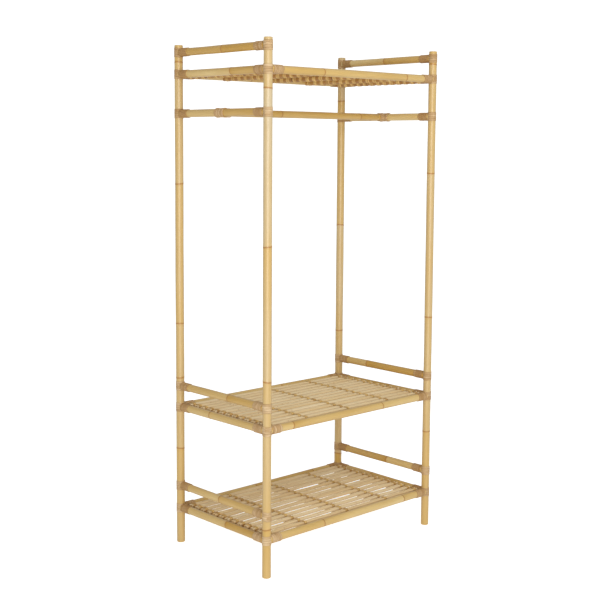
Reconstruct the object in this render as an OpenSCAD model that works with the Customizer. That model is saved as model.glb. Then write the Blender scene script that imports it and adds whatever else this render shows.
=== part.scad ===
// Open clothes rack of rattan poles: four posts, guard and shelf rails, three stick shelves and a
// hanging rod, screwed together and wrapped with rattan peel at every joint.
// +X is the rack's right, +Y its back and +Z up. The origin is on the floor below the middle.

/* [Frame] */
// Height of the posts
post_h = 1800; // [1790:1:1860]
// Distance between the left and right post axes
span_x = 812; // [800:2:900]
// Distance between the front and back post axes
span_y = 476; // [472:2:520]
// Diameter of a post
post_d = 30; // [28.5:0.5:33]
// Diameter of a front or back shelf rail
long_rail_d = 27.5; // [27.25:0.25:29]
// Diameter of a side rail
side_rail_d = 27; // [26.5:0.25:27.25]
// Diameter of the hanging rod
rod_d = 26; // [22:0.5:26.5]

/* [Levels of the rail axes] */
// Top guard rails
top_guard_z = 1774; // [1765:1:1775]
// Top shelf
top_shelf_z = 1698; // [1680:1:1700]
// Hanger rails and the rod between them
hanger_z = 1561; // [1500:1:1600]
// Guard rails over the middle shelf
middle_guard_z = 583; // [575:1:650]
// Middle shelf
middle_shelf_z = 506; // [480:1:510]
// Guard rails over the bottom shelf
bottom_guard_z = 214; // [205:1:300]
// Bottom shelf
bottom_shelf_z = 130; // [100:1:135]

/* [Shelves] */
// Diameter of the bearers that carry the sticks
bearer_d = 18; // [14:0.5:19]
// Distance from the middle bearer to the next one on each side
inner_bearer_x = 205; // [180:1:230]
// Distance from the middle bearer to the outermost ones
outer_bearer_x = 371; // [350:1:374]
// Diameter of a shelf stick
stick_d = 10; // [6:0.5:11]
// Length of a shelf stick
stick_len = 778; // [762:1:782]
// Distance between the pairs of sticks
pair_pitch = 34.5; // [30:0.5:34.5]
// Number of pairs of sticks on a shelf
pair_count = 13; // [9:2:13]

/* [Bindings] */
// Thickness of the peel wrapped round a joint
peel_t = 2; // [1:0.25:2.5]
// Height of the wrapping on a post
band_h = 32; // [32:1:42]
// How far the wrapping on a rail reaches from the post's axis
sleeve_reach = 58; // [45:1:60]
// Thickness of the peel that ties the sticks to the bearers
lash_t = 1.5; // [1:0.25:2]
// Width of that tie along a stick
lash_w = 14; // [10:1:16]

/* [Fasteners] */
// Shank diameter of the frame screws
screw_d = 4; // [3:0.5:5]
// Length of the frame screws
screw_len = 60; // [50:1:70]
// Shank diameter of the bearer nails
nail_d = 2.4; // [1.8:0.2:3]
// Length of the bearer nails
nail_len = 45; // [40:1:55]

/* [Hidden] */
$fn = 64;
left_right = [["left", -1], ["right", 1]];
front_back = [["front", -1], ["back", 1]];
guards = [
    ["top_guard", top_guard_z],
    ["hanger", hanger_z],
    ["middle_guard", middle_guard_z],
    ["bottom_guard", bottom_guard_z],
];
shelves = [["top_shelf", top_shelf_z], ["middle_shelf", middle_shelf_z], ["bottom_shelf", bottom_shelf_z]];
side_levels = concat(guards, shelves);
bearer_xs = [-outer_bearer_x, -inner_bearer_x, 0, inner_bearer_x, outer_bearer_x];
pair_ys = [for (i = [0:pair_count - 1]) (i - (pair_count - 1) / 2) * pair_pitch];

half_x = span_x / 2;
half_y = span_y / 2;
foot_round = 3;        // rounding at the foot and the top of a post
bearer_drop = 7;       // bearer axis below the rail axis
bearer_end = half_y - long_rail_d / 4; // the notched end stops under the rail
peel_gap = 0.5;        // a turn of peel lies between a stick and its bearer
stick_gap = 0.5;       // between the two sticks of a pair
stick_shift = (stick_d + stick_gap) / 2; // from a pair's middle to each stick's axis
stick_rise = bearer_d / 2 - bearer_drop + peel_gap + stick_d / 2; // stick axis above the rail axis
lash_end = pair_ys[pair_count - 1] + stick_d + lash_t + 1; // where the tie stops along a bearer
screw_shift = 5;       // crossing screws pass each other this far above and below the rail axis
head_d = 8;
head_t = 3;
head_sink = 0.7;       // depth of a screw head below the pole's crown
nail_head_d = 4;
nail_head_t = 1.2;
nail_sink = 5;         // depth of a nail head below the rail's crown, under filler
rod_binding_t = 3.5;   // the hanging rod's joints are wrapped thicker
rod_binding_half = 23; // half its length along the hanger rail
rod_sleeve_reach = 37; // how far it reaches along the rod from the hanger rail's axis

straw = "#e2c583";
golden = "#d9b467";
stick_tan = "#c9a773";
peel_tan = "#cfae7c";
steel = "#b9bcc0";

// A straight bar along X or Y between two distances from the origin
module bar_x(d, x0, x1) {
    translate([x0, 0, 0]) rotate([0, 90, 0]) cylinder(d = d, h = x1 - x0);
}

module bar_y(d, y0, y1) {
    translate([0, y0, 0]) rotate([-90, 0, 0]) cylinder(d = d, h = y1 - y0);
}

module side_bar(sx, z) {
    translate([sx * half_x, 0, z]) bar_y(side_rail_d, -half_y, half_y);
}

module long_bar(sy, z) {
    translate([0, sy * half_y, z]) bar_x(long_rail_d, -half_x, half_x);
}

module post_bars() {
    for (sx = [-1, 1], sy = [-1, 1])
        translate([sx * half_x, sy * half_y, -1]) cylinder(d = post_d, h = post_h + 2);
}

// A countersunk screw lying along +Z from its head; clear extends its hole out through the surface
module screw(length, clear = 0) {
    cylinder(d = screw_d, h = length);
    cylinder(d1 = head_d, d2 = screw_d, h = head_t);
    if (clear > 0) translate([0, 0, -clear]) cylinder(d = head_d, h = clear);
}

module side_screw(sx, sy, z, clear = 0) {
    translate([sx * half_x, sy * (half_y + post_d / 2 - head_sink), z - screw_shift])
        rotate([sy * 90, 0, 0]) screw(screw_len, clear);
}

module long_screw(sx, sy, z, clear = 0) {
    translate([sx * (half_x + post_d / 2 - head_sink), sy * half_y, z + screw_shift])
        rotate([0, -sx * 90, 0]) screw(screw_len, clear);
}

module rod_screw(sx, clear = 0) {
    translate([sx * (half_x + side_rail_d / 2 - head_sink), 0, hanger_z])
        rotate([0, -sx * 90, 0]) screw(screw_len, clear);
}

module bearer_nail(x, sy, z) {
    translate([x, sy * (half_y + long_rail_d / 2 - nail_sink), z - bearer_drop]) rotate([sy * 90, 0, 0]) {
        cylinder(d = nail_d, h = nail_len);
        cylinder(d = nail_head_d, h = nail_head_t);
    }
}

module post(sx, sy) {
    r = post_d / 2;
    color(straw) difference() {
        translate([sx * half_x, sy * half_y, 0]) rotate_extrude()
            polygon([
                [0, 0], [r - foot_round, 0], [r - foot_round * 0.3, foot_round * 0.3], [r, foot_round],
                [r, post_h - foot_round], [r - foot_round * 0.3, post_h - foot_round * 0.3],
                [r - foot_round, post_h], [0, post_h],
            ]);
        for (level = side_levels) side_screw(sx, sy, level[1], clear = 2);
        for (shelf = shelves) long_screw(sx, sy, shelf[1], clear = 2);
    }
}

module side_rail(sx, z, meets_long_rails, holds_rod) {
    color(golden) difference() {
        side_bar(sx, z);
        post_bars();
        for (sy = [-1, 1]) {
            side_screw(sx, sy, z);
            if (meets_long_rails) long_bar(sy, z);
        }
        if (holds_rod) rod_screw(sx, clear = 2);
    }
}

module long_rail(sy, z) {
    color(golden) difference() {
        long_bar(sy, z);
        post_bars();
        for (sx = [-1, 1]) long_screw(sx, sy, z);
        for (x = bearer_xs) bearer_nail(x, sy, z);
    }
}

module hanging_rod() {
    color(golden) difference() {
        translate([0, 0, hanger_z]) bar_x(rod_d, -half_x, half_x);
        for (sx = [-1, 1]) {
            side_bar(sx, hanger_z);
            rod_screw(sx);
        }
    }
}

// The peel sleeves that cover the ends of the long rails
module long_sleeve(sx, sy, z) {
    translate([0, sy * half_y, z])
        bar_x(long_rail_d + 2 * peel_t, sx > 0 ? half_x - sleeve_reach : -half_x,
              sx > 0 ? half_x : sleeve_reach - half_x);
}

module side_sleeve(sx, sy, z) {
    translate([sx * half_x, 0, z])
        bar_y(side_rail_d + 2 * peel_t, sy > 0 ? half_y - sleeve_reach : -half_y,
              sy > 0 ? half_y : sleeve_reach - half_y);
}

module bearer_bar(x, z) {
    translate([x, 0, z - bearer_drop]) bar_y(bearer_d, -bearer_end, bearer_end);
}

module bearer(x, z) {
    color(golden) difference() {
        bearer_bar(x, z);
        for (sy = [-1, 1]) {
            long_bar(sy, z);
            bearer_nail(x, sy, z);
            if (abs(x) + bearer_d / 2 > half_x - sleeve_reach) long_sleeve(sign(x), sy, z);
        }
    }
}

// Sticks lie side by side in pairs along X
module stick_bars(z, extra = 0) {
    for (y = pair_ys, side = [-1, 1])
        translate([0, y + side * stick_shift, z + stick_rise])
            bar_x(stick_d, -stick_len / 2 - extra, stick_len / 2 + extra);
}

module sticks(z) {
    color(stick_tan) stick_bars(z);
}

// A tie's strap over one pair of sticks, seen along X, with legs down into the wrap on the bearer
module strap_outline() {
    r = stick_d / 2 + lash_t;
    for (side = [-1, 1]) translate([side * stick_shift, 0]) circle(r = r);
    translate([-stick_shift, 0]) square([2 * stick_shift, r]);
    translate([-stick_shift - r, -stick_d / 2 - 4]) square([2 * (stick_shift + r), stick_d / 2 + 4]);
}

module lashing(x, z) {
    difference() {
        union() {
            translate([x, 0, z - bearer_drop]) bar_y(bearer_d + 2 * lash_t, -lash_end, lash_end);
            for (y = pair_ys)
                translate([x - lash_w / 2, y, z + stick_rise])
                    rotate([90, 0, 90]) linear_extrude(lash_w) strap_outline();
        }
        bearer_bar(x, z);
        stick_bars(z, extra = 5);
    }
}

module lashings(z) {
    color(peel_tan) for (x = bearer_xs) lashing(x, z);
}

module band(sx, sy, z) {
    translate([sx * half_x, sy * half_y, z - band_h / 2]) cylinder(d = post_d + 2 * peel_t, h = band_h);
}

module corner_binding(sx, sy, z, has_long_rail) {
    difference() {
        union() {
            band(sx, sy, z);
            side_sleeve(sx, sy, z);
            if (has_long_rail) long_sleeve(sx, sy, z);
        }
        post_bars();
        side_bar(sx, z);
        if (has_long_rail) long_bar(sy, z);
    }
}

module post_bindings(sx, sy) {
    color(peel_tan) {
        for (level = guards) corner_binding(sx, sy, level[1], has_long_rail = false);
        for (shelf = shelves) corner_binding(sx, sy, shelf[1], has_long_rail = true);
    }
}

module hanging_rod_bindings() {
    color(peel_tan) for (sx = [-1, 1]) difference() {
        translate([0, 0, hanger_z]) {
            translate([sx * half_x, 0, 0])
                bar_y(side_rail_d + 2 * rod_binding_t, -rod_binding_half, rod_binding_half);
            bar_x(rod_d + 2 * rod_binding_t - 1, sx > 0 ? half_x - rod_sleeve_reach : -half_x,
                  sx > 0 ? half_x : rod_sleeve_reach - half_x);
        }
        side_bar(sx, hanger_z);
        translate([0, 0, hanger_z]) bar_x(rod_d, -half_x, half_x);
    }
}

module side_rail_screws() {
    color(steel) for (sx = [-1, 1], sy = [-1, 1], level = side_levels) side_screw(sx, sy, level[1]);
}

module long_rail_screws() {
    color(steel) for (sx = [-1, 1], sy = [-1, 1], shelf = shelves) long_screw(sx, sy, shelf[1]);
}

module hanging_rod_screws() {
    color(steel) for (sx = [-1, 1]) rod_screw(sx);
}

module bearer_nails() {
    color(steel) for (x = bearer_xs, sy = [-1, 1], shelf = shelves) bearer_nail(x, sy, shelf[1]);
}

for (y = front_back, x = left_right)
    post(x[1], y[1]);
for (x = left_right, level = guards)
    side_rail(x[1], level[1], meets_long_rails = false, holds_rod = level[0] == "hanger");
for (x = left_right, shelf = shelves)
    side_rail(x[1], shelf[1], meets_long_rails = true, holds_rod = false);
for (y = front_back, shelf = shelves)
    long_rail(y[1], shelf[1]);
hanging_rod();
for (shelf = shelves, i = [0:len(bearer_xs) - 1])
    bearer(bearer_xs[i], shelf[1]);
for (shelf = shelves) {
    sticks(shelf[1]);
    lashings(shelf[1]);
}
for (y = front_back, x = left_right)
    post_bindings(x[1], y[1]);
hanging_rod_bindings();
side_rail_screws();
long_rail_screws();
hanging_rod_screws();
bearer_nails();
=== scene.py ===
"""Looks of the rattan clothes rack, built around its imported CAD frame. Lengths are in metres."""

import math

import bpy
import numpy as np
from mathutils import Matrix, Vector


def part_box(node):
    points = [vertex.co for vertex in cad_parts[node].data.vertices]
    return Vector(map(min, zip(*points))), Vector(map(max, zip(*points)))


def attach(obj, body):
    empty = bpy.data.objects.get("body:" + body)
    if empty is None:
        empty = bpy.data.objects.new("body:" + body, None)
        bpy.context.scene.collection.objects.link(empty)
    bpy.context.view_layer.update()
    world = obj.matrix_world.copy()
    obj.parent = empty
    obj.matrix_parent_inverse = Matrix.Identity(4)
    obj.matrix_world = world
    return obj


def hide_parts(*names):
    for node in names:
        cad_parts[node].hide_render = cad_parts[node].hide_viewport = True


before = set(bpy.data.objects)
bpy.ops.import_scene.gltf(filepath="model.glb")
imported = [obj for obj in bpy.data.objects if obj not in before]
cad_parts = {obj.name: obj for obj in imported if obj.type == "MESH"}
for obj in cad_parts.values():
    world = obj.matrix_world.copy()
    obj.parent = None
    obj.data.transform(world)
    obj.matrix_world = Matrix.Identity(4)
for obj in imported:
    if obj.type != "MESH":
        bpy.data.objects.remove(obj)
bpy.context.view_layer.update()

TAU = 2 * math.pi
MM = 0.001

# ---------------------------------------------------------------- what the frame says

FRONT, BACK, LEFT, RIGHT = -1, 1, -1, 1
ENDS = {"front": FRONT, "back": BACK}
SIDES = {"left": LEFT, "right": RIGHT}
GUARDS = ("top_guard", "hanger", "middle_guard", "bottom_guard")
SHELVES = ("top_shelf", "middle_shelf", "bottom_shelf")
LEVELS = GUARDS + SHELVES
BEARERS = range(1, 6)


def centre(node):
    low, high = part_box(node)
    return (low + high) / 2


def thickness(node, axis):
    low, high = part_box(node)
    return (high - low)[axis]


POST_AT = {
    (end, side): centre(f"{end}_{side}_post") for end in ENDS for side in SIDES
}
HALF_X = POST_AT["front", "right"].x
HALF_Y = POST_AT["back", "left"].y
POST_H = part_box("front_left_post")[1].z
POST_R = thickness("front_left_post", 0) / 2
LEVEL_Z = {level: centre(f"left_{level}_rail").z for level in LEVELS}
SIDE_R = thickness("left_top_guard_rail", 0) / 2
LONG_R = thickness("front_top_shelf_rail", 1) / 2
ROD_R = thickness("hanging_rod", 1) / 2
BEARER_X = [centre(f"top_shelf_bearer_{i}").x for i in BEARERS]
BEARER_R = thickness("top_shelf_bearer_3", 0) / 2
BEARER_DROP = LEVEL_Z["top_shelf"] - centre("top_shelf_bearer_3").z
BEARER_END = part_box("top_shelf_bearer_3")[1].y
STICK_R = thickness("top_shelf_sticks", 2) / 2
STICK_RISE = centre("top_shelf_sticks").z - LEVEL_Z["top_shelf"]
STICK_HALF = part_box("top_shelf_sticks")[1].x
STICK_GAP = 0.5 * MM
PAIRS = 13
PAIR_SHIFT = STICK_R + STICK_GAP / 2
PAIR_PITCH = (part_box("top_shelf_sticks")[1].y - STICK_R - PAIR_SHIFT) / (PAIRS // 2)
PAIR_Y = [(i - PAIRS // 2) * PAIR_PITCH for i in range(PAIRS)]

BAND_T = 1.1 * MM        # thickness of the peel round a post, inside the CAD band
SLEEVE_T = 1.8 * MM      # thickness of the peel round a rail's end, inside the CAD sleeve
SLEEVE_REACH = 58 * MM   # from a post's axis to the end of the wrapping on a rail
BAND_H = 32 * MM         # height of the wrapping on a post
TIE_T = 1.0 * MM         # thickness of the peel that ties the sticks
CUT_RISE = 0.2 * MM      # a sawn end is a little higher in its middle
LAP = 5 * MM             # a rail's end reaches this far into what it meets
TURN = 8 * MM            # width of one turn of peel at a post's joint
ROD_TURN = 6.5 * MM      # width of one turn of peel at the rod's joints
STRAND = 4.4 * MM        # width of one strand of a tie


# ---------------------------------------------------------------- mesh building


class Shape:
    """Gathers swept surfaces into one mesh. Each point carries `flow`, its place along and across the
    fibres, and `mark`: its tone, its nearness to a growth ring (with painted shade on a stick's sides) or to
    a strip's edge (drawn as painted shade in the seams), and 1 on a cut end."""

    def __init__(self):
        self.points, self.faces, self.flow, self.mark = [], [], [], []
        self.count = 0

    def grid(self, points, flow, mark, capped=False):
        """A tube through rings of points, an array of rings x corners x 3. Capped closes both its ends."""
        rings, corners = points.shape[:2]
        index = np.arange(rings * corners).reshape(rings, corners) + self.count
        after = np.roll(index, -1, axis=1)
        quads = np.stack([index[:-1], after[:-1], after[1:], index[1:]], axis=-1)
        self.faces += quads.reshape(-1, 4).tolist()
        self.points.append(points.reshape(-1, 3))
        self.flow.append(flow.reshape(-1, 3))
        self.mark.append(mark.reshape(-1, 3))
        self.count += rings * corners
        if capped:
            self.faces.append(index[0, ::-1].tolist())
            self.faces.append(index[-1].tolist())

    def build(self, name, material, node):
        """Makes the piece, on the rack's one body, in place of a CAD node."""
        mesh = bpy.data.meshes.new(name)
        mesh.from_pydata(np.concatenate(self.points).tolist(), [], self.faces)
        for label, data in (("flow", self.flow), ("mark", self.mark)):
            layer = mesh.attributes.new(label, "FLOAT_VECTOR", "POINT")
            layer.data.foreach_set("vector", np.concatenate(data).astype(np.float32).ravel())
        mesh.polygons.foreach_set("use_smooth", [True] * len(mesh.polygons))
        mesh.materials.append(material)
        mesh.update()
        piece = bpy.data.objects.new(name, mesh)
        bpy.context.scene.collection.objects.link(piece)
        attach(piece, "root")
        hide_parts(node)


def axes_for(direction):
    """Two unit vectors across a direction, the first of them level."""
    direction = np.asarray(direction, float)
    up = np.array([0, 0, 1.0]) if abs(direction[2]) < 0.9 else np.array([0, 1.0, 0])
    across = np.cross(up, direction)
    across /= np.linalg.norm(across)
    return across, np.cross(direction, across)


def smooth_noise(rng, places, step, size):
    """A smooth random curve over places, with a new random value every step."""
    count = int((places.max() - places.min()) / step) + 4
    values = rng.uniform(-size, size, count)
    t = (places - places.min()) / step
    i = np.clip(t.astype(int), 0, count - 2)
    f = t - i
    f = f * f * (3 - 2 * f)
    return values[i] * (1 - f) + values[i + 1] * f


def hump(off, width):
    """1 where off is 0, falling smoothly to nothing on both sides."""
    return np.exp(-((off / width) ** 2))


# Where a pole's surface has points along it: across each growth ring in mm, and in each rounded end as shares
RING_STEPS = (-9, -6, -4, -2.6, -1.6, -0.8, 0, 0.8, 1.6, 2.6, 4, 6, 9)
ROUND_STEPS = (0.12, 0.35, 0.65, 1.0)

UNEVEN = 0.25 * MM       # how far a pole's radius wanders
UNEVEN_STEP = 0.11       # the length over which it does
BEND_STEP = 0.35         # the length over which a pole's axis wanders
SWELL_REACH = 5 * MM     # how far the swelling at a growth ring reaches
SCAR_SHARE = 0.55        # depth of the narrow scar in that swelling, as a share of its height
SCAR_OFF = 1.2 * MM      # how far the scar lies past the ring
SCAR_REACH = 1.1 * MM    # how far the scar reaches
STAIN_REACH = 2.4 * MM   # how far a ring's brown line reaches
DEEPEN_REACH = 35 * MM   # how far a ring's deeper side deepens
FLOW_SHIFT = 20          # the fibres of each piece start at a random place up to this far off, in metres


def pole(shape, start, end, radius, rings, tones, rng, sides=32, step=14 * MM, bend=0.5 * MM,
         swell=0.45 * MM, tilt=2.5 * MM, round_end=0.0, sway=None, side_shade=0.0, ring_mark=1.0):
    """A length of rattan from start to end: nearly round and straight, and a little thicker at each of its
    growth rings. Rings are distances from start. Each stretch between two rings has a tone of its own, from
    0, pale, to 1, deep golden, and the deeper side of a ring deepens further towards it. With side_shade the
    pole's sides, where it lies beside another, are darkened as painted shade, and ring_mark says how brown
    its rings are."""
    start, end = np.asarray(start, float), np.asarray(end, float)
    length = np.linalg.norm(end - start)
    direction = (end - start) / length
    across, over = axes_for(direction)
    places = list(np.arange(0, length, step)) + [length]
    for ring in rings:
        places += [ring + d * MM for d in RING_STEPS]
    if round_end:
        places += [round_end * share for share in ROUND_STEPS]
        places += [length - round_end * share for share in ROUND_STEPS]
    places = np.unique(np.round([p for p in places if 0 <= p <= length], 5))
    angle = np.arange(sides) / sides * TAU
    s, a = np.meshgrid(places, angle, indexing="ij")
    uneven = smooth_noise(rng, places, UNEVEN_STEP, UNEVEN)[:, None] + np.zeros_like(a)
    oval = rng.uniform(0.05, 0.25) * MM * np.cos(2 * (a - rng.uniform(0, TAU)))
    r = radius - UNEVEN + uneven + oval
    # painted shade: the sides that face a neighbour are darkened towards the ring colour
    ring_stain_and_shade = side_shade * np.cos(a) ** 6
    tone = np.full_like(a, tones[0])
    turn = rng.uniform(0, TAU)
    for ring, before, after in zip(rings, tones[:-1], tones[1:]):
        turn += math.pi + rng.uniform(-0.5, 0.5)
        lean = rng.uniform(0.35, 1.0) * tilt
        off = s - ring - lean * np.cos(a - turn)
        r += swell * (hump(off, SWELL_REACH) - SCAR_SHARE * hump(off - SCAR_OFF, SCAR_REACH))
        ring_stain_and_shade = np.maximum(ring_stain_and_shade, ring_mark * hump(off, STAIN_REACH))
        tone = np.where(off > 0, after, tone)
        deeper = off < 0 if before > after else off > 0
        tone = tone + abs(before - after) * 0.8 * deeper * np.exp(-np.abs(off) / DEEPEN_REACH)
    if round_end:
        depth = np.minimum(s, length - s) / round_end
        r -= round_end * (1 - np.sqrt(np.clip(1 - (1 - np.clip(depth, 0, 1)) ** 2, 0, 1)))
    drift = [smooth_noise(rng, places, BEND_STEP, bend) for _ in range(2)]
    ease = np.sin(np.clip(places / length, 0, 1) * math.pi)
    sideways = drift[0] * ease + (sway(places) if sway else 0)
    axis = start + places[:, None] * direction
    axis += sideways[:, None] * across + (drift[1] * ease)[:, None] * over
    points = axis[:, None, :] + (r * np.cos(a))[..., None] * across + (r * np.sin(a))[..., None] * over
    shift = rng.uniform(0, FLOW_SHIFT, 3)
    flow = np.stack([radius * np.cos(a) + shift[0], radius * np.sin(a) + shift[1], s + shift[2]], axis=-1)
    mark = np.stack([np.clip(tone, 0, 1), ring_stain_and_shade, np.zeros_like(a)], axis=-1)
    shape.grid(points, flow, mark)
    for row, sign in ((0, -1), (-1, 1)):
        cut_end(shape, points[row], direction * sign, shift, tones[row])


def cut_end(shape, rim, outward, shift, tone):
    """The sawn face of a pole, as rings that close on its middle."""
    middle = rim.mean(axis=0)
    shares = np.array([1.0, 0.96, 0.7, 0.4, 0.04])
    rise = np.array([0.0, 0.5, 0.8, 0.9, 1.0]) * CUT_RISE
    points = middle + (rim[None] - middle) * shares[:, None, None] + rise[:, None, None] * outward
    if np.dot(np.cross(rim[0] - middle, rim[1] - middle), outward) < 0:
        points = points[:, ::-1]
    local = (points - middle) + shift
    mark = np.zeros_like(points)
    mark[..., 0] = tone
    mark[1:, :, 2] = 1.0
    shape.grid(points, local, mark)
    last = shape.count - rim.shape[0]
    shape.faces.append(list(range(last, shape.count)))


EDGE_SHARE = 0.65        # thickness of a strip of peel at its edges, as a share of that in its middle


def ribbon(shape, path, outward, width_dir, width, thick, rng, tone):
    """A strip of peel swept along path: flat inside, crowned outside and thinner at its edges. The tone is
    one value, or one for each point of the path."""
    count = len(path)
    side = np.linspace(-0.5, 0.5, 5)
    crown = thick * (EDGE_SHARE + (1 - EDGE_SHARE) * np.sqrt(np.clip(1 - (2 * side) ** 2, 0, 1)))
    wobble = 1 + smooth_noise(rng, np.linspace(0, 1, count), 0.15, 0.05)
    top = [path + outward * c + width_dir * (w * width) * wobble[:, None] for w, c in zip(side, crown)]
    low = [path + width_dir * (w * width) * wobble[:, None] for w in (0.5, -0.5)]
    points = np.stack(top + low, axis=1)
    length = np.concatenate([[0], np.cumsum(np.linalg.norm(np.diff(path, axis=0), axis=1))])
    shift = rng.uniform(0, FLOW_SHIFT, 3)
    corners = points.shape[1]
    flow = np.zeros((count, corners, 3))
    flow[..., 0] = np.array(list(side) + [0.5, -0.5]) * width + shift[0]
    flow[..., 1] = np.array(list(crown) + [0, 0]) + shift[1]
    flow[..., 2] = length[:, None] + shift[2]
    # nearness to the strip's edge, which the peel darkens as painted shade in the seams
    edge = np.array(list(np.abs(side * 2) ** 3) + [1, 1])
    mark = np.zeros((count, corners, 3))
    mark[..., 0] = np.reshape(tone, (-1, 1))
    mark[..., 1] = edge
    shape.grid(points, flow, mark, capped=True)


def winding(shape, base, direction, start, end, radius, pitch, thick, rng, tone=0.5):
    """Peel wound round a bar from start to end along direction, each turn beside the last."""
    direction = np.asarray(direction, float)
    across, over = axes_for(direction)
    turns = max(1, round((end - start) / pitch))
    pitch = (end - start) / turns
    phase = rng.uniform(0, TAU)
    overlap, slant, uneven, tone_spread = 0.02, 0.25, 0.12 * MM, 0.22
    for turn in range(turns):
        t = np.linspace(0, 1 + overlap, 31)
        angle = phase + (turn + t) * TAU
        along = start + pitch * (turn + 0.5) + pitch * slant * (t - 0.5)
        distance = radius + smooth_noise(rng, t, 0.2, uneven)
        outward = np.cos(angle)[:, None] * across + np.sin(angle)[:, None] * over
        path = np.asarray(base, float) + along[:, None] * direction + distance[:, None] * outward
        turn_tone = np.clip(tone + rng.uniform(-tone_spread, tone_spread), 0, 1)
        ribbon(shape, path, outward, direction + np.zeros_like(path), pitch, thick, rng, turn_tone)


# ---------------------------------------------------------------- materials


def empty_material(name):
    material = bpy.data.materials.new(name)
    material.use_nodes = True
    tree = material.node_tree
    tree.nodes.clear()
    return material, tree


class Maker:
    """Short calls that add shader nodes."""

    def __init__(self, tree):
        self.tree = tree

    def add(self, kind, **settings):
        node = self.tree.nodes.new(kind)
        for key, value in settings.items():
            setattr(node, key, value)
        return node

    def link(self, out, into):
        self.tree.links.new(out, into)

    def attribute(self, name):
        return self.add("ShaderNodeAttribute", attribute_name=name).outputs["Vector"]

    def split(self, vector):
        node = self.add("ShaderNodeSeparateXYZ")
        self.link(vector, node.inputs[0])
        return node.outputs

    def scaled(self, vector, by):
        node = self.add("ShaderNodeVectorMath", operation="MULTIPLY")
        self.link(vector, node.inputs[0])
        node.inputs[1].default_value = by
        return node.outputs[0]

    def noise(self, vector, scale=1.0, detail=3.0, rough=0.55):
        node = self.add("ShaderNodeTexNoise")
        self.link(vector, node.inputs["Vector"])
        node.inputs["Scale"].default_value = scale
        node.inputs["Detail"].default_value = detail
        node.inputs["Roughness"].default_value = rough
        return node.outputs["Fac"]

    def ramp(self, value, stops):
        node = self.add("ShaderNodeValToRGB")
        ramp = node.color_ramp
        while len(ramp.elements) < len(stops):
            ramp.elements.new(0.5)
        for element, (place, colour) in zip(ramp.elements, stops):
            element.position = place
            element.color = (*colour, 1)
        self.link(value, node.inputs[0])
        return node.outputs[0]

    def math(self, operation, first, second=None, third=None):
        node = self.add("ShaderNodeMath", operation=operation)
        for i, value in enumerate((first, second, third)):
            if value is None:
                continue
            if isinstance(value, (int, float)):
                node.inputs[i].default_value = value
            else:
                self.link(value, node.inputs[i])
        return node.outputs[0]

    def mix(self, factor, first, second, mode="MIX"):
        node = self.add("ShaderNodeMix", data_type="RGBA", blend_type=mode)
        for key, value in ((0, factor), (6, first), (7, second)):
            if isinstance(value, (int, float)):
                node.inputs[key].default_value = value
            elif isinstance(value, tuple):
                node.inputs[key].default_value = (*value, 1)
            else:
                self.link(value, node.inputs[key])
        return node.outputs[2]

    def bump(self, height, strength, distance):
        node = self.add("ShaderNodeBump")
        node.inputs["Strength"].default_value = strength
        node.inputs["Distance"].default_value = distance
        self.link(height, node.inputs["Height"])
        return node.outputs[0]

    def finish(self, colour, roughness, normal=None, **sockets):
        shader = self.add("ShaderNodeBsdfPrincipled")
        for key, value in (("Base Color", colour), ("Roughness", roughness), ("Normal", normal)):
            if value is None:
                continue
            if isinstance(value, (int, float)):
                shader.inputs[key].default_value = value
            elif isinstance(value, tuple):
                shader.inputs[key].default_value = (*value, 1)
            else:
                self.link(value, shader.inputs[key])
        for key, value in sockets.items():
            shader.inputs[key.replace("_", " ")].default_value = value
        out = self.add("ShaderNodeOutputMaterial")
        self.link(shader.outputs[0], out.inputs[0])
        return shader


def srgb(*values):
    """Linear colour from 0-255 screen values."""
    shares = [v / 255 for v in values]
    return tuple(v / 12.92 if v <= 0.04045 else ((v + 0.055) / 1.055) ** 2.4 for v in shares)


def rattan_skin(name, pale, deep, ring, sheen_rough=0.34):
    """Pole rattan with its waxy skin on: long fine fibre streaks, slow colour drift, brown growth rings, and
    painted shade on the sides of sticks.
    """
    material, tree = empty_material(name)
    m = Maker(tree)
    flow = m.attribute("flow")
    tone, ring_stain_and_shade, cut = m.split(m.attribute("mark"))
    streak = m.noise(m.scaled(flow, (900, 900, 9)), 1.0, 4.0, 0.6)
    drift = m.noise(m.scaled(flow, (18, 18, 3.2)), 1.0, 2.0, 0.5)
    blotch = m.noise(m.scaled(flow, (120, 120, 30)), 1.0, 3.0, 0.6)
    base = m.mix(tone, pale, deep)
    base = m.mix(m.ramp(drift, [(0.35, (0, 0, 0)), (0.68, (1, 1, 1))]), base,
                 m.mix(0.55, base, deep))
    dark = m.mix(1.0, base, m.ramp(streak, [(0.28, (0.86, 0.82, 0.74)), (0.6, (1, 1, 1))]), "MULTIPLY")
    spots = m.mix(m.ramp(blotch, [(0.64, (0, 0, 0)), (0.8, (0.2, 0.2, 0.2))]), dark, ring)
    # brown growth rings, and on sticks the painted shade on their sides, both in the ring colour
    ringed_and_shaded = m.mix(ring_stain_and_shade, spots, ring)
    pores = m.add("ShaderNodeTexVoronoi")
    m.link(flow, pores.inputs["Vector"])
    pores.inputs["Scale"].default_value = 1400
    grain = m.ramp(pores.outputs["Distance"], [(0.12, srgb(120, 84, 44)), (0.4, srgb(214, 184, 132))])
    colour = m.mix(cut, ringed_and_shaded, grain)
    rough = m.math("ADD", m.math("MULTIPLY", streak, 0.16), sheen_rough - 0.08)
    rough = m.math("ADD", rough, m.math("MULTIPLY", cut, 0.3))
    height = m.math("ADD", m.math("MULTIPLY", streak, 0.6), m.math("MULTIPLY", blotch, 0.25))
    m.finish(colour, rough, m.bump(height, 0.25, 0.0006), Coat_Weight=0.25, Coat_Roughness=0.22,
             Specular_IOR_Level=0.6)
    return material


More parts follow.
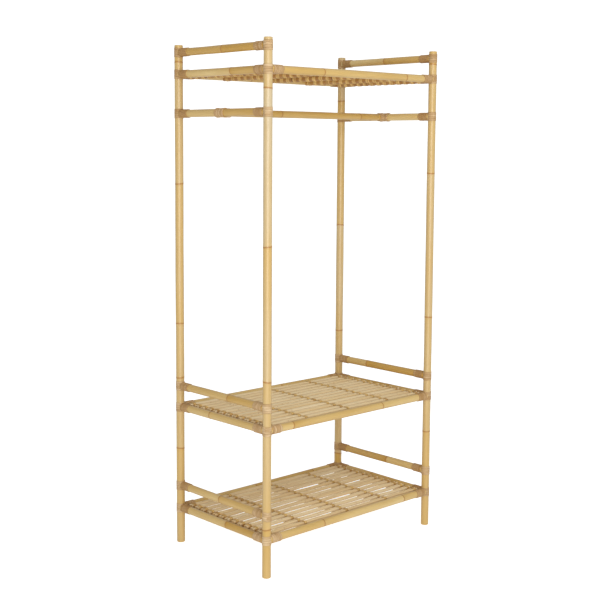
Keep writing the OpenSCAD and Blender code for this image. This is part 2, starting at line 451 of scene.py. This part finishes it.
def peel(name, pale, deep, edge, seam_shade_share, rough=0.55):
    """Rattan peel: matt, finely ribbed along the strip, and darkened at its edges as painted shade in the
    seams between two turns.
    """
    material, tree = empty_material(name)
    m = Maker(tree)
    flow = m.attribute("flow")
    tone, side, _ = m.split(m.attribute("mark"))
    fibre = m.noise(m.scaled(flow, (2600, 600, 22)), 1.0, 3.0, 0.6)
    drift = m.noise(m.scaled(flow, (60, 60, 26)), 1.0, 2.0, 0.5)
    base = m.mix(tone, pale, deep)
    base = m.mix(m.ramp(drift, [(0.4, (0, 0, 0)), (0.7, (0.7, 0.7, 0.7))]), base, deep)
    base = m.mix(1.0, base, m.ramp(fibre, [(0.3, (0.78, 0.73, 0.66)), (0.62, (1, 1, 1))]), "MULTIPLY")
    # painted shade: the strip's edges are mixed towards the dark edge colour
    colour = m.mix(m.math("MULTIPLY", side, seam_shade_share), base, edge)
    m.finish(colour, m.math("ADD", m.math("MULTIPLY", fibre, 0.2), rough - 0.1),
             m.bump(fibre, 0.35, 0.0005), Specular_IOR_Level=0.4)
    return material


def zinc_steel():
    material, tree = empty_material("zinc_steel")
    m = Maker(tree)
    place = m.add("ShaderNodeTexCoord").outputs["Object"]
    brushed = m.noise(m.scaled(place, (900, 900, 900)), 1.0, 2.0)
    colour = m.ramp(brushed, [(0.3, (0.42, 0.43, 0.45)), (0.7, (0.66, 0.67, 0.69))])
    m.finish(colour, m.math("ADD", m.math("MULTIPLY", brushed, 0.2), 0.3), Metallic=1.0)
    return material


POST_SKIN = rattan_skin("post_skin", srgb(213, 195, 158), srgb(212, 172, 88), srgb(174, 116, 40))
RAIL_SKIN = rattan_skin("rail_skin", srgb(236, 212, 152), srgb(200, 156, 66), srgb(172, 112, 38))
# The bearers' skin is deeper brown than the rails', partly their own tone and partly painted shade for the
# bare bearer between the wraps.
BEARER_SKIN = rattan_skin("bearer_skin", srgb(214, 160, 80), srgb(164, 110, 46), srgb(104, 62, 24), 0.45)
STICK_SKIN = rattan_skin("stick_skin", srgb(248, 232, 194), srgb(238, 211, 158), srgb(172, 122, 64), 0.5)
# The last colour of each peel is painted shade for the seams between its turns.
JOINT_PEEL = peel("joint_peel", srgb(234, 208, 166), srgb(184, 144, 90), srgb(160, 116, 68), 0.35)
TIE_PEEL = peel("tie_peel", srgb(254, 220, 142), srgb(164, 108, 46), srgb(132, 82, 34), 0.4)
STEEL = zinc_steel()


# ---------------------------------------------------------------- camera, light and floor


def studio():
    """The viewpoint at the rack's front left, a white floor, and two wide soft lamps in front."""
    eye = (-2.8683, -3.0321, 1.4638)
    lens, yaw, pitch, roll = 68.48, 0.751, 0.1064, 0.0062
    data = bpy.data.cameras.new("camera")
    data.lens, data.sensor_width, data.shift_y = lens, 36.0, -0.06
    camera = bpy.data.objects.new("camera", data)
    bpy.context.scene.collection.objects.link(camera)
    forward = Vector((math.sin(yaw) * math.cos(pitch), math.cos(yaw) * math.cos(pitch), -math.sin(pitch)))
    right = Vector((math.cos(yaw), -math.sin(yaw), 0))
    up = right.cross(forward)
    turned_right = math.cos(roll) * right + math.sin(roll) * up
    turned_up = math.cos(roll) * up - math.sin(roll) * right
    turn = Matrix((turned_right, turned_up, -forward)).transposed()
    camera.matrix_world = Matrix.Translation(eye) @ turn.to_4x4()
    bpy.context.scene.camera = camera

    world = bpy.data.worlds.new("studio")
    bpy.context.scene.world = world
    world.use_nodes = True
    m = Maker(world.node_tree)
    background = world.node_tree.nodes["Background"]
    rays = m.add("ShaderNodeLightPath")
    shade = m.mix(rays.outputs["Is Camera Ray"], (0.44, 0.44, 0.44), (1.2, 1.2, 1.2))
    m.link(shade, background.inputs["Color"])
    background.inputs["Strength"].default_value = 1.0

    def lamp(name, place, size, watts, target=(0, 0, 0.9)):
        light = bpy.data.lights.new(name, "AREA")
        light.shape, light.size, light.size_y, light.energy = "RECTANGLE", size[0], size[1], watts
        obj = bpy.data.objects.new(name, light)
        bpy.context.scene.collection.objects.link(obj)
        obj.location = place
        obj.rotation_euler = (Vector(target) - Vector(place)).to_track_quat("-Z", "Y").to_euler()
        obj.visible_camera = False

    lamp("key", (-3.1, -3.5, 1.35), (3.4, 2.6), 96)
    lamp("top_light", (-0.3, -2.6, 3.8), (3.0, 2.4), 41, (0, 0, 0.3))

    mesh = bpy.data.meshes.new("floor")
    reach = 30.0
    mesh.from_pydata([(-reach, -reach, 0), (reach, -reach, 0), (reach, reach, 0), (-reach, reach, 0)], [],
                     [(0, 1, 2, 3)])
    floor = bpy.data.objects.new("floor", mesh)
    bpy.context.scene.collection.objects.link(floor)
    material, tree = empty_material("floor_white")
    m = Maker(tree)
    seen = m.add("ShaderNodeLightPath").outputs["Is Camera Ray"]
    shader = m.finish((0.8, 0.8, 0.8), 0.9, Emission_Color=(1, 1, 1, 1))
    m.link(m.math("MULTIPLY_ADD", seen, 0.56, 0.24), shader.inputs["Emission Strength"])
    mesh.materials.append(material)
    bpy.context.scene.view_settings.view_transform = "Standard"


# ---------------------------------------------------------------- poles

# Growth rings, as heights above the floor, and the tone of each stretch from the floor up
POST_GROWTH = {
    ("front", "left"): ((0.168, 0.672, 1.121, 1.637), (0.75, 0.55, 0.4, 0.05, 0.35)),
    ("front", "right"): ((0.369, 0.808, 1.352, 1.751), (0.65, 0.5, 0.4, 0.55, 0.7)),
    ("back", "left"): ((0.353, 0.615, 0.811, 1.315, 1.739), (0.7, 0.5, 0.5, 0.6, 0.45, 0.6)),
    ("back", "right"): ((0.184, 0.7, 1.13, 1.628), (0.85, 0.4, 0.35, 0.6, 0.2)),
}


def posts():
    for seed, ((end, side), (rings, tones)) in enumerate(POST_GROWTH.items()):
        at = POST_AT[end, side]
        shape = Shape()
        pole(shape, (at.x, at.y, CUT_RISE), (at.x, at.y, POST_H - CUT_RISE), POST_R, rings, tones,
             np.random.default_rng(seed + 10), round_end=2.5 * MM)
        shape.build(f"{end}_{side}_pole", POST_SKIN, f"{end}_{side}_post")


# Growth rings, as distances from the front post's axis, and the tones from the front back
SIDE_GROWTH = {
    ("left", "top_guard"): ((0.228,), (0.95, 0.75)), ("left", "top_shelf"): ((0.18,), (0.65, 0.3)),
    ("left", "hanger"): ((0.255,), (0.75, 0.5)), ("left", "middle_guard"): ((0.197,), (0.7, 0.4)),
    ("left", "middle_shelf"): ((0.296,), (0.5, 0.4)), ("left", "bottom_guard"): ((0.24,), (0.6, 0.4)),
    ("left", "bottom_shelf"): ((0.207,), (0.75, 0.4)), ("right", "top_guard"): ((0.237,), (0.6, 0.25)),
    ("right", "top_shelf"): ((0.14, 0.36), (0.5, 0.35, 0.6)), ("right", "hanger"): ((0.31,), (0.0, 0.4)),
    ("right", "middle_guard"): ((0.311,), (0.9, 0.5)), ("right", "middle_shelf"): ((0.19,), (0.5, 0.7)),
    ("right", "bottom_guard"): ((0.196,), (0.3, 0.7)), ("right", "bottom_shelf"): ((0.28,), (0.5, 0.3)),
}


def side_rails():
    inset = POST_R - LAP
    for seed, ((side, level), (rings, tones)) in enumerate(SIDE_GROWTH.items()):
        x, z = SIDES[side] * HALF_X, LEVEL_Z[level]
        shape = Shape()
        places = [ring - inset for ring in rings]
        pole(shape, (x, -HALF_Y + inset, z), (x, HALF_Y - inset, z), SIDE_R, places, tones,
             np.random.default_rng(seed + 40))
        shape.build(f"{side}_{level}_pole", RAIL_SKIN, f"{side}_{level}_rail")


# Growth rings, as distances from the left post's axis, and the tones from the left
LONG_GROWTH = {
    ("front", "top_shelf"): ((0.243, 0.659), (0.6, 0.5, 0.4)),
    ("front", "middle_shelf"): ((0.112, 0.556), (0.15, 0.45, 0.4)),
    ("front", "bottom_shelf"): ((0.264, 0.677), (0.3, 0.2, 0.4)),
    ("back", "top_shelf"): ((0.33, 0.71), (0.4, 0.55, 0.35)),
    ("back", "middle_shelf"): ((0.21, 0.49), (0.45, 0.3, 0.5)),
    ("back", "bottom_shelf"): ((0.36, 0.66), (0.4, 0.6, 0.4)),
}


def long_rails():
    inset = POST_R - LAP
    for seed, ((end, shelf), (rings, tones)) in enumerate(LONG_GROWTH.items()):
        y, z = ENDS[end] * HALF_Y, LEVEL_Z[shelf]
        shape = Shape()
        places = [ring - inset for ring in rings]
        pole(shape, (-HALF_X + inset, y, z), (HALF_X - inset, y, z), LONG_R, places, tones,
             np.random.default_rng(seed + 70))
        shape.build(f"{end}_{shelf}_pole", RAIL_SKIN, f"{end}_{shelf}_rail")


def hanging_rod():
    shape = Shape()
    inset = SIDE_R - LAP
    z = LEVEL_Z["hanger"]
    pole(shape, (-HALF_X + inset, 0, z), (HALF_X - inset, 0, z), ROD_R, (0.26, 0.66), (0.7, 0.6, 0.75),
         np.random.default_rng(90))
    shape.build("hanging_rod_pole", RAIL_SKIN, "hanging_rod")


# ---------------------------------------------------------------- shelves


def bearers():
    rng = np.random.default_rng(100)
    for shelf in SHELVES:
        z = LEVEL_Z[shelf] - BEARER_DROP
        for i in BEARERS:
            shape = Shape()
            x = BEARER_X[i - 1]
            rings = (rng.uniform(0.08, 0.16), rng.uniform(0.26, 0.4))
            tones = rng.uniform(0.4, 0.8, 3)
            pole(shape, (x, -BEARER_END, z), (x, BEARER_END, z), BEARER_R, rings, tones, rng,
                 sides=20, step=20 * MM, swell=0.25 * MM, bend=0.2 * MM)
            shape.build(f"{shelf}_bearer_pole_{i}", BEARER_SKIN, f"{shelf}_bearer_{i}")


def tied_sway(rng, size):
    """The sideways wander of a pair of sticks between the bearers that it is tied to."""
    places = np.linspace(0, 2 * STICK_HALF, 80)
    held, easing = 8 * MM, 60 * MM
    gap = np.min(np.abs(places[:, None] - STICK_HALF - np.array(BEARER_X)), axis=1)
    free = np.clip((gap - held) / easing, 0, 1)
    wander = smooth_noise(rng, places, 0.16, size) * free * free * (3 - 2 * free)
    return lambda at: np.interp(at, places, wander)


# How far the sticks wander between the bearers
STICK_SWAY = {"top_shelf": 2.2 * MM, "middle_shelf": 2.2 * MM, "bottom_shelf": 4.2 * MM}


def shelf_sticks():
    rng = np.random.default_rng(200)
    for shelf in SHELVES:
        shape = Shape()
        z = LEVEL_Z[shelf] + STICK_RISE
        for y in PAIR_Y:
            sway = tied_sway(rng, STICK_SWAY[shelf])
            for side in (-1, 1):
                trim = rng.uniform(0, 5, 2) * MM
                rings = np.sort(rng.uniform(0.05, 0.75, rng.integers(1, 4)))
                tones = rng.uniform(0, 1) + rng.uniform(-0.15, 0.15, len(rings) + 1)
                radius = STICK_R * rng.uniform(0.88, 1.0)
                start = (-STICK_HALF + trim[0], y + side * PAIR_SHIFT, z)
                end = (STICK_HALF - trim[1], y + side * PAIR_SHIFT, z)
                pole(shape, start, end, radius, rings, tones, rng, sides=16, step=30 * MM, bend=0.1 * MM,
                     swell=0.2 * MM, tilt=1 * MM, sway=sway, side_shade=0.4, ring_mark=0.45)
        shape.build(f"{shelf}_stick_mat", STICK_SKIN, f"{shelf}_sticks")


def strap_outline():
    """Half a turn over a pair of sticks, seen along X as (y, z) from the pair's middle, with legs."""
    leg = STICK_R + 3 * MM
    radius = STICK_R + 0.1 * MM
    down = [(-PAIR_SHIFT - radius, -leg * share) for share in (1.0, 0.5)]
    quarter = np.linspace(0, math.pi / 2, 7)
    left = [(-PAIR_SHIFT - radius * math.cos(turn), radius * math.sin(turn)) for turn in quarter]
    half = down + left
    return np.array(half + [(-y, z) for y, z in reversed(half)])


def strap(shape, x, y, z, rng):
    """Three strands of peel over a pair of sticks where it crosses a bearer, deeper in tone at their legs as
    painted shade in the gap between two pairs.
    """
    outline = strap_outline()
    step = np.gradient(outline, axis=0)
    outward = np.stack([np.zeros(len(step)), -step[:, 1], step[:, 0]], axis=1)
    outward /= np.linalg.norm(outward, axis=1)[:, None]
    across = np.tile([-1.0, 0, 0], (len(outline), 1))
    for strand in (-1, 0, 1):
        path = np.zeros((len(outline), 3))
        path[:, 0] = x + strand * STRAND + np.linspace(-1, 1, len(outline)) * rng.uniform(-0.8, 0.8) * MM
        path[:, 1] = y + outline[:, 0]
        path[:, 2] = z + outline[:, 1]
        # painted shade: the legs, down in the gap between pairs, take a deep tone
        tone = np.where(outline[:, 1] > 0, rng.uniform(0, 0.3), 0.65)
        ribbon(shape, path, outward, across, STRAND, TIE_T * rng.uniform(0.75, 1), rng, tone)


def under_wrap(shape, x, y, z, rng):
    """The tie's turns round the bearer below the same pair, open above, where the sticks lie."""
    turns, reach = 4, math.radians(140)
    sweep = np.linspace(-reach, reach, 17)
    outward = np.stack([np.sin(sweep), np.zeros_like(sweep), -np.cos(sweep)], axis=1)
    across = np.tile([0, 1.0, 0], (len(sweep), 1))
    for turn in range(turns):
        slant = np.linspace(-1, 1, len(sweep)) * rng.uniform(-0.6, 0.6) * MM
        path = np.array([x, y, z]) + outward * BEARER_R
        path[:, 1] += (turn - (turns - 1) / 2) * STRAND + slant
        thick = TIE_T * rng.uniform(1.0, 1.35)
        ribbon(shape, path, outward, across, STRAND, thick, rng, rng.uniform(0.0, 0.2))


def shelf_ties():
    rng = np.random.default_rng(300)
    for shelf in SHELVES:
        shape = Shape()
        for x in BEARER_X:
            for y in PAIR_Y:
                strap(shape, x, y, LEVEL_Z[shelf] + STICK_RISE, rng)
                under_wrap(shape, x, y, LEVEL_Z[shelf] - BEARER_DROP, rng)
        shape.build(f"{shelf}_peel_ties", TIE_PEEL, f"{shelf}_lashings")


# ---------------------------------------------------------------- wrappings round the joints

# How deep the tone of the peel is on each post, at its lower joints and at its upper ones
WRAP_TONE = {("front", "left"): (0.1, 0.4), ("front", "right"): (0.55, 0.65), ("back", "left"): (0.45, 0.8),
             ("back", "right"): (0.55, 0.8)}
UPPER = POST_H / 2


def sleeve(shape, corner, direction, radius, rng, tone):
    """Peel wound round a rail's end, from the post outwards."""
    winding(shape, corner, direction, POST_R + 0.5 * MM, SLEEVE_REACH, radius, TURN, SLEEVE_T, rng, tone)


def joint_wrappings():
    rng = np.random.default_rng(400)
    for end, sy in ENDS.items():
        for side, sx in SIDES.items():
            shape = Shape()
            at = POST_AT[end, side]
            for level in LEVELS:
                tone = WRAP_TONE[end, side][LEVEL_Z[level] > UPPER]
                corner = (at.x, at.y, LEVEL_Z[level])
                winding(shape, corner, (0, 0, 1), -BAND_H / 2, BAND_H / 2, POST_R, TURN, BAND_T, rng, tone)
                sleeve(shape, corner, (0, -sy, 0), SIDE_R, rng, tone + 0.4)
                if level in SHELVES:
                    sleeve(shape, corner, (-sx, 0, 0), LONG_R, rng, tone + 0.25)
            shape.build(f"{end}_{side}_wrapping", JOINT_PEEL, f"{end}_{side}_bindings")


def rod_wrappings():
    """Peel round the hanger rail on both sides of the rod, over the rod's joint, and along the rod."""
    rng = np.random.default_rng(500)
    shape = Shape()
    half, reach = 23 * MM, 37 * MM
    beside, over_rod, along_rod = 3.2 * MM, 2.4 * MM, 2.8 * MM
    along_rail = ((-half, -ROD_R, beside), (-ROD_R, ROD_R, over_rod), (ROD_R, half, beside))
    for sx in (LEFT, RIGHT):
        joint = (sx * HALF_X, 0, LEVEL_Z["hanger"])
        for start, end, thick in along_rail:
            winding(shape, joint, (0, 1, 0), start, end, SIDE_R, ROD_TURN, thick, rng)
        winding(shape, joint, (-sx, 0, 0), SIDE_R, reach, ROD_R, ROD_TURN, along_rod, rng)
    shape.build("hanging_rod_wrapping", JOINT_PEEL, "hanging_rod_bindings")


def fasteners():
    """The screws and nails are the CAD's own solids, hidden in the poles."""
    for name in ("side_rail_screws", "long_rail_screws", "hanging_rod_screws", "bearer_nails"):
        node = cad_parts[name]
        node.data.materials.clear()
        node.data.materials.append(STEEL)


studio()
posts()
side_rails()
long_rails()
hanging_rod()
bearers()
shelf_sticks()
shelf_ties()
joint_wrappings()
rod_wrappings()
fasteners()
